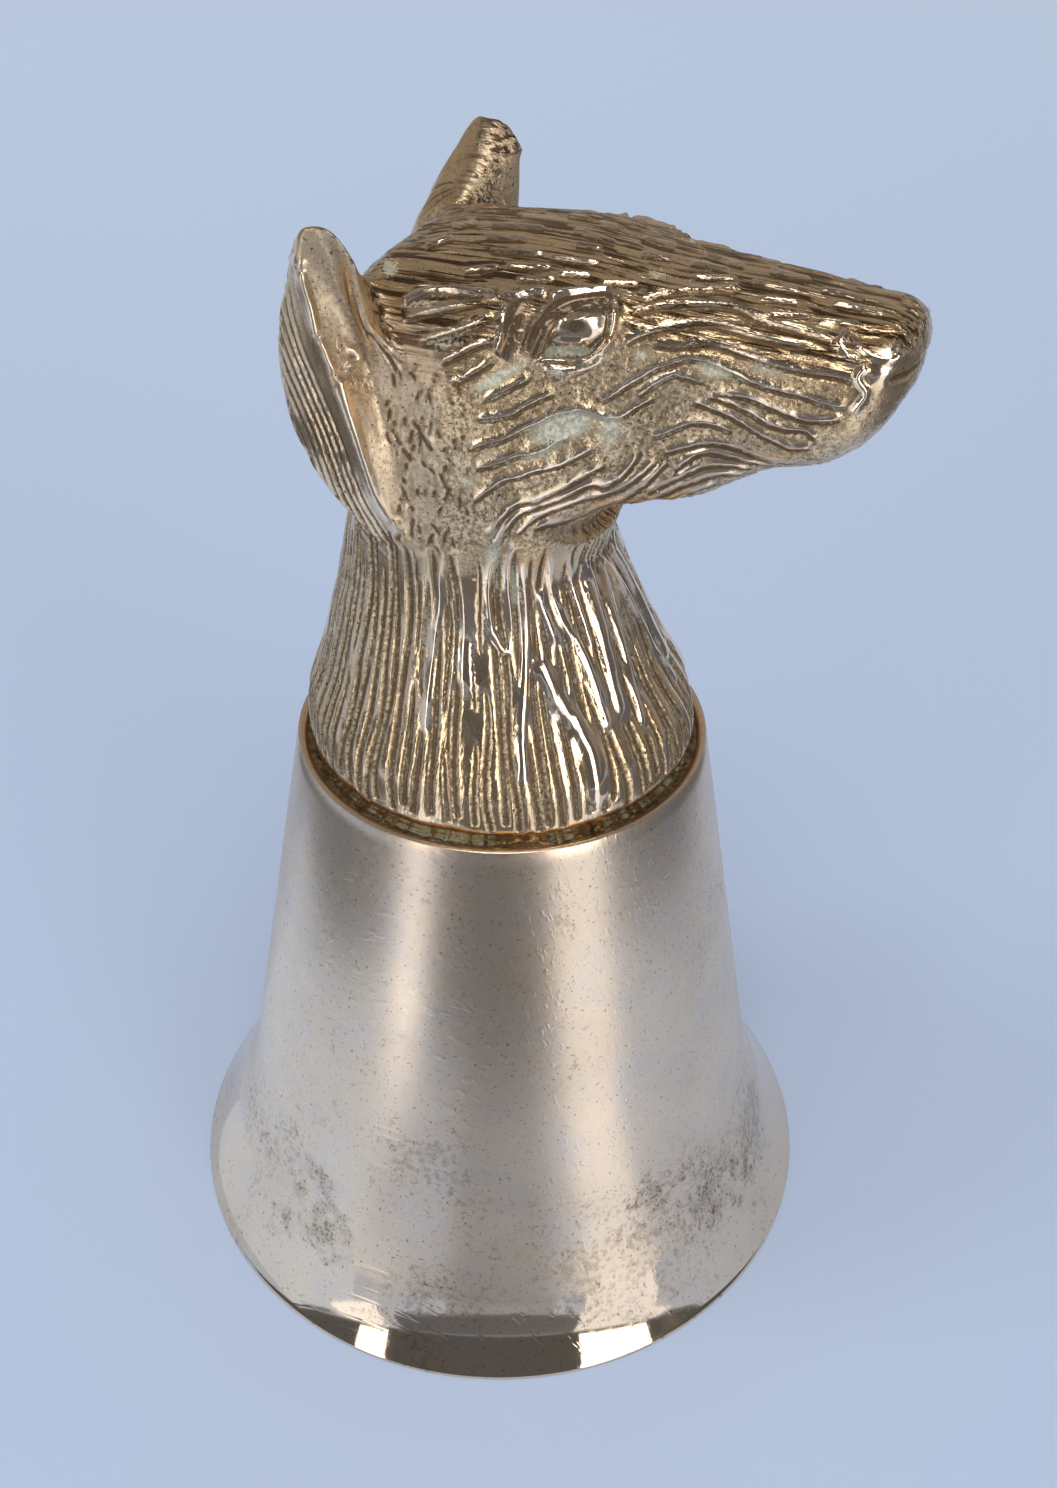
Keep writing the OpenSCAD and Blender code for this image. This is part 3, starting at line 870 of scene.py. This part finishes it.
# dirt in the hollows and painted shade on the lids, in the eye and in the cuts share one dark colour
dirtAndShade = (hollowWire + cutWire * 0.7 + (cloud - 0.5) * 0.5 + (grain - 0.5) * 0.6).step(0.05, 0.7)
soiledAndShaded = (dirtAndShade * 0.9).math("MAXIMUM", furrow * (0.55 - polishWire * 0.4))
colour = soiledAndShaded.blend(colour, headLook["dirtAndShade"])
specks = (pits + groundWire * 0.05 - polishWire * 0.05).step(0.66, 0.72)
colour = specks.blend(colour, headLook["speck"])
bloom = greenWire + groundWire * (cloud - 0.45) * 1.4 + (grain - 0.5) * 1.5 + (pits - 0.5) * 0.9
bloom = (bloom + hollowWire * 0.4 - 0.12).step(0.3, 0.66)
colour = (bloom * 0.8).blend(colour, grain.step(0.4, 0.6).blend(*headLook["green"]))
feed(colour, shader, "Base Color")
feed(1.0 - bloom * 0.9 - dirtAndShade * 0.3 - patina * 0.25, shader, "Metallic")
dull = patina * 0.08 + dirtAndShade * 0.12 + grain * 0.12 + bloom * 0.25 + earWire * 0.18
feed(dull + 0.17 - polishWire * 0.12, shader, "Roughness")
height = (grain * 0.6 + pits * 0.4) * (groundWire + 0.12) * (1.0 - earWire * 0.88)
height = height + (hair * 1.3 + dash * 1.2) * streakWire
height = (height + strand * maneWire * 0.8) * (1.0 - polishWire * 0.85)
feed(height.bump(*headLook["bump"]), shader, "Normal")

# cup: warm silver, mirror bright at the mouth, scratched and stained
cupLook = {
    "metal": (rgb(247, 224, 197), rgb(236, 212, 186)),
    "haze": rgb(226, 214, 206),
    "tarnish": rgb(150, 136, 116),
    "stain": rgb(128, 104, 72),
    "speck": rgb(88, 74, 56),
    "satin": (0.0066, 0.0086),  # height where the mirror ends, m
    "low": (0.014, 0.034),
    "bump": (0.2, 0.00006),
    "stains": [  # angle in degrees, radius, height and size in mm
        (-18, 30.1, 11.7, 9.0), (-6, 30.6, 10.0, 8.0), (-32, 29.0, 15.5, 6.5),
        (-111, 29.6, 13.2, 6.5), (-105, 30.6, 10.0, 7.0), (-116, 32.3, 6.3, 4.0),
    ],
}
cupMaterial, shader, place = startMaterial("cupMetal")


def stainAt(turn, radius, height, size):  # one in the middle of a stain
    heading = math.radians(turn)
    spot = (radius * math.cos(heading) / 1000, radius * math.sin(heading) / 1000, height / 1000)
    return 1.0 - place.gapTo(spot).step(0.2 * size / 1000, size / 1000)


level = place.part(2)
cloud = place.noise(60.0, 5.0, 0.6)
grain = place.noise(1300.0, 4.0, 0.6)
dots = place.noise(3000.0, 2.0, 0.5)
mottle = place.noise(420.0, 4.0, 0.6)
haze = place.noise(170.0, 5.0, 0.65)
scratch = place.stretch((0.5, 0.9, 0.4), (50.0, 2400.0, 700.0)).noise(1.0, 2.0)
scratchBack = place.stretch((-0.4, -0.8, 1.9), (40.0, 2000.0, 600.0)).noise(1.0, 2.0)
low = 1.0 - level.step(*cupLook["low"])
stain = (cloud + (grain - 0.5) * 0.9 + low * 0.07).step(0.62, 0.8)
colour = cloud.step(0.3, 0.7).blend(*cupLook["metal"])
colour = (haze.step(0.46, 0.68) * 0.4).blend(colour, cupLook["haze"])
colour = (stain * 0.4).blend(colour, cupLook["tarnish"])
patch = stainAt(*cupLook["stains"][0])
for plan in cupLook["stains"][1:]:
    patch = patch.math("MAXIMUM", stainAt(*plan))
blotch = (patch * 0.34 + (mottle - 0.5) * 1.5 + (grain - 0.5) * 0.6).step(0.05, 0.75)
blotch = blotch * patch.step(0.0, 0.6)
colour = (blotch * 0.5).blend(colour, cupLook["stain"])
specks = (dots + stain * 0.05 + blotch * 0.16).step(0.63, 0.73)
colour = (specks * 0.6).blend(colour, cupLook["speck"])
feed(colour, shader, "Base Color")
shader.inputs["Metallic"].default_value = 1.0
satin = level.step(*cupLook["satin"])
feed(satin * (cloud * 0.12 + grain * 0.12 + 0.13) + stain * 0.05 + 0.045, shader, "Roughness")
height = scratch.step(0.6, 0.72) * 0.9 + scratchBack.step(0.62, 0.72) * 0.7
height = height * (satin * 0.8 + 0.2) + (grain * 0.4 + dots * 0.4) * satin
feed(height.bump(*cupLook["bump"]), shader, "Normal")

# solder: golden brown, crusted green at the neck
solderLook = {
    "golden": (rgb(138, 118, 86), rgb(84, 68, 46)),
    "crust": (rgb(46, 40, 30), rgb(146, 154, 136)),
    "edge": 0.01895,  # radius where the crust ends, m
}
solderMaterial, shader, place = startMaterial("solderBrown")
grain = place.noise(1500.0, 5.0, 0.7)
cloud = place.noise(220.0, 3.0)
away = (place.part(0) * place.part(0) + place.part(1) * place.part(1)).math("SQRT")
crust = ((solderLook["edge"] - away) * 1900.0 + (grain - 0.5) * 1.4 + (cloud - 0.5) * 2.4).step(0.0, 0.5)
crystals = (grain + (cloud - 0.5) * 0.5).step(0.47, 0.55)
colour = grain.step(0.4, 0.62).blend(*solderLook["golden"])
colour = crust.blend(colour, crystals.blend(*solderLook["crust"]))
feed(colour, shader, "Base Color")
feed(0.7 - crust * 0.6, shader, "Metallic")
feed(crust * 0.3 + 0.32, shader, "Roughness")

# floor of the cup, hardly seen
floorLook = {"metal": (rgb(190, 164, 126), rgb(136, 112, 80)), "rough": 0.36}
floorMaterial, shader, place = startMaterial("floorMetal")
cloud = place.noise(300.0, 4.0)
feed(cloud.step(0.35, 0.65).blend(*floorLook["metal"]), shader, "Base Color")
shader.inputs["Metallic"].default_value = 1.0
shader.inputs["Roughness"].default_value = floorLook["rough"]

dressed = (
    (head, headMaterial, "head_casting", "head_silver"),
    (cup, cupMaterial, "cup_shell", "cup_silver"),
    (ring, solderMaterial, "neck_solder", "solder"),
)
for obj, material, node, slotName in dressed:
    obj.data.materials.clear()
    obj.data.materials.append(material)
    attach(obj, "root")
    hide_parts(node)
for name, material in (("cup_floor", floorMaterial), ("floor_solder", solderMaterial)):
    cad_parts[name].data.materials.clear()
    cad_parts[name].data.materials.append(material)
print("materials")


# stage: a pale floor, two softboxes beside the camera, soft lights above and at the side, a dim room
stagePlan = {  # m, colours are linear
    "paper": rgb(183, 199, 226),
    "paperFarLit": rgb(212, 229, 254),
    "paperShade": (-0.1, 0.7),  # where the far colour begins and is full, along the view
    "reach": 4.0,
    "facing": -66.0,  # degrees, side of the camera
    "fill": (0.58, 0.58, 0.58, 1.0),
    "room": (0.096, 0.101, 0.11, 1.0),
    "farWall": (0.3, 0.28, 0.258, 1.0),
    "roomShade": (-1.2, 1.6),
    "roomCloud": 9.0,
    "roomRadius": 3.0,
}
cardPlan = {  # wedges on the floor: turn in degrees, near and far end, half angle in degrees, any glow
    "table": {  # where the paper ends, in the metal
        "tint": rgb(96, 100, 108),
        "height": 0.0004,
        "wedges": ((-2, 0.088, 0.7, 28), (90, 0.11, 0.7, 40), (-90, 0.093, 0.22, 40)),
    },
    "litPaper": {  # beside the softboxes
        "tint": (0.61, 0.74, 0.96, 1.0),
        "height": 0.0006,
        "wedges": ((-78, 0.037, 0.093, 38),),
    },
    "shadowPaper": {  # painted shadow on the paper before the cup, seen by the metal alone
        "tint": (0.32, 0.37, 0.46, 1.0),
        "height": 0.0006,
        "wedges": ((0, 0.037, 0.088, 15),),
    },
    "boxFoot": {  # softboxes below the table's edge
        "tint": (0.92, 0.97, 1.06, 1.0),
        "height": 0.0008,
        "wedges": ((33, 0.046, 0.085, 9.5, 1.08), (35, 0.085, 0.6, 12.5, 1.08), (-40, 0.075, 0.6, 6, 1.3)),
    },
}
lampPlan = {  # turn from the camera's side, distance and height, height aimed at, size, power, tint
    "rightBox": ((35, 0.6, 0.2), 0.06, (0.24, 0.39), 1.0, (1.0, 0.97, 0.93)),
    "leftBox": ((-39, 0.6, 0.2), 0.06, (0.1, 0.39), 0.36, (1.0, 0.97, 0.93)),
    "above": ((0, 0.55, 1.1), 0.06, (0.62, 0.45), 3.6, (1.0, 0.99, 0.97)),
    "side": ((-85, 0.8, 0.75), 0.03, (0.4, 0.4), 1.6, (1, 1, 1)),
}


def fromCamera(turn, distance, height):  # a place round the cup, turned from the camera's side
    heading = math.radians(stagePlan["facing"] + turn)
    return Vector((distance * math.cos(heading), distance * math.sin(heading), height))


def plain(obj, tint, glow=0.0):
    material, shader, place = startMaterial(obj.name)
    shader.inputs["Base Color"].default_value = tint
    shader.inputs["Roughness"].default_value = 0.9
    shader.inputs["Specular IOR Level"].default_value = 0.1
    if glow:
        shader.inputs["Base Color"].default_value = (0, 0, 0, 1)
        shader.inputs["Specular IOR Level"].default_value = 0.0
        shader.inputs["Emission Color"].default_value = tint
        shader.inputs["Emission Strength"].default_value = glow
    obj.data.materials.append(material)


def shade(obj, near, far, name, reach, cloudy=0.0):  # from the camera's side to the far one
    tree = obj.data.materials[0].node_tree
    place = Wire(tree, tree.nodes["Texture Coordinate"].outputs["Object"])
    away = fromCamera(180, 1.0, 0.0)
    depth = place.part(0) * away.x + place.part(1) * away.y + (place.noise(0.9, 2.0) - 0.5) * cloudy
    feed(depth.step(*reach).blend(near, far), tree.nodes["Principled BSDF"], name)


def onlyMirrored(obj):  # seen by the metal alone
    obj.visible_camera = False
    obj.visible_shadow = False
    obj.visible_diffuse = False
    obj.visible_transmission = False


def card(name, plan, turn, near, far, spread, glow=0.0):  # points at the cup
    bpy.ops.object.select_all(action="DESELECT")
    bpy.ops.mesh.primitive_plane_add(size=2)
    obj = bpy.context.object
    obj.name = name
    bpy.ops.object.mode_set(mode="EDIT")
    bpy.ops.mesh.select_mode(type="EDGE")
    for end, gap in ((1, far), (-1, near)):
        bpy.ops.mesh.select_all(action="DESELECT")
        bpy.ops.object.mode_set(mode="OBJECT")
        for edge in obj.data.edges:
            edge.select = all(abs(obj.data.vertices[v].co.x - end) < 1e-6 for v in edge.vertices)
        bpy.ops.object.mode_set(mode="EDIT")
        half = gap * math.tan(math.radians(spread))
        bpy.ops.transform.resize(value=(1, half, 1), center_override=(0, 0, 0))
        bpy.ops.transform.translate(value=(gap - end, 0, 0))
    bpy.ops.object.mode_set(mode="OBJECT")
    obj.location.z = plan["height"]
    obj.rotation_euler.z = math.radians(stagePlan["facing"] + turn)
    plain(obj, plan["tint"], glow)
    onlyMirrored(obj)


def lamp(name, place, aim, size, power, tint):
    spot = fromCamera(*place)
    bpy.ops.object.light_add(type="AREA", location=spot)
    light = bpy.context.object
    light.name = name
    light.data.shape = "RECTANGLE"
    light.data.size, light.data.size_y = size
    light.data.energy = power
    light.data.color = tint
    light.rotation_euler = (Vector((0, 0, aim)) - spot).to_track_quat("-Z", "Y").to_euler()
    light.visible_glossy = name != "side"  # that one has no image in the metal


bpy.ops.object.select_all(action="DESELECT")
bpy.ops.mesh.primitive_plane_add(size=stagePlan["reach"])
paper = bpy.context.object
paper.name = "floor"
plain(paper, stagePlan["paper"])
# painted light: the paper's colour grows lighter away from the camera
shade(paper, stagePlan["paper"], stagePlan["paperFarLit"], "Base Color", stagePlan["paperShade"])
for name, plan in cardPlan.items():
    for wedge in plan["wedges"]:
        card(name, plan, *wedge)
bpy.ops.object.select_all(action="DESELECT")
bpy.ops.mesh.primitive_uv_sphere_add(segments=48, ring_count=24, radius=stagePlan["roomRadius"])
room = bpy.context.object
room.name = "room"
plain(room, stagePlan["room"], 1.0)
onlyMirrored(room)
wallTints = (stagePlan["room"], stagePlan["farWall"])
shade(room, *wallTints, "Emission Color", stagePlan["roomShade"], stagePlan["roomCloud"])
for name, plan in lampPlan.items():
    lamp(name, *plan)
world = bpy.data.worlds.new("surround")
world.use_nodes = True
scene.world = world
sky = world.node_tree.nodes["Background"]
path = world.node_tree.nodes.new("ShaderNodeLightPath")
shown = Wire(world.node_tree, path.outputs["Is Camera Ray"])
shown = shown + Wire(world.node_tree, path.outputs["Is Glossy Ray"])
shown = shown + Wire(world.node_tree, path.outputs["Is Transmission Ray"])
feed(shown.blend(stagePlan["fill"], stagePlan["paper"]), sky, "Color")
print("stage")

cameraSpot, across, upward, forward = shotAxes()
bpy.ops.object.camera_add(location=cameraSpot / 1000)
camera = bpy.context.object
turned = Matrix((across, upward, -forward)).transposed().to_4x4()
camera.matrix_world = Matrix.Translation(Vector(cameraSpot / 1000)) @ turned
camera.data.sensor_fit = "AUTO"
camera.data.sensor_width = shot["sensor"]
camera.data.lens = shot["focal"] / shot["size"][1] * shot["sensor"]
camera.data.clip_start = 0.01
scene.camera = camera
scene.view_settings.view_transform = "Standard"
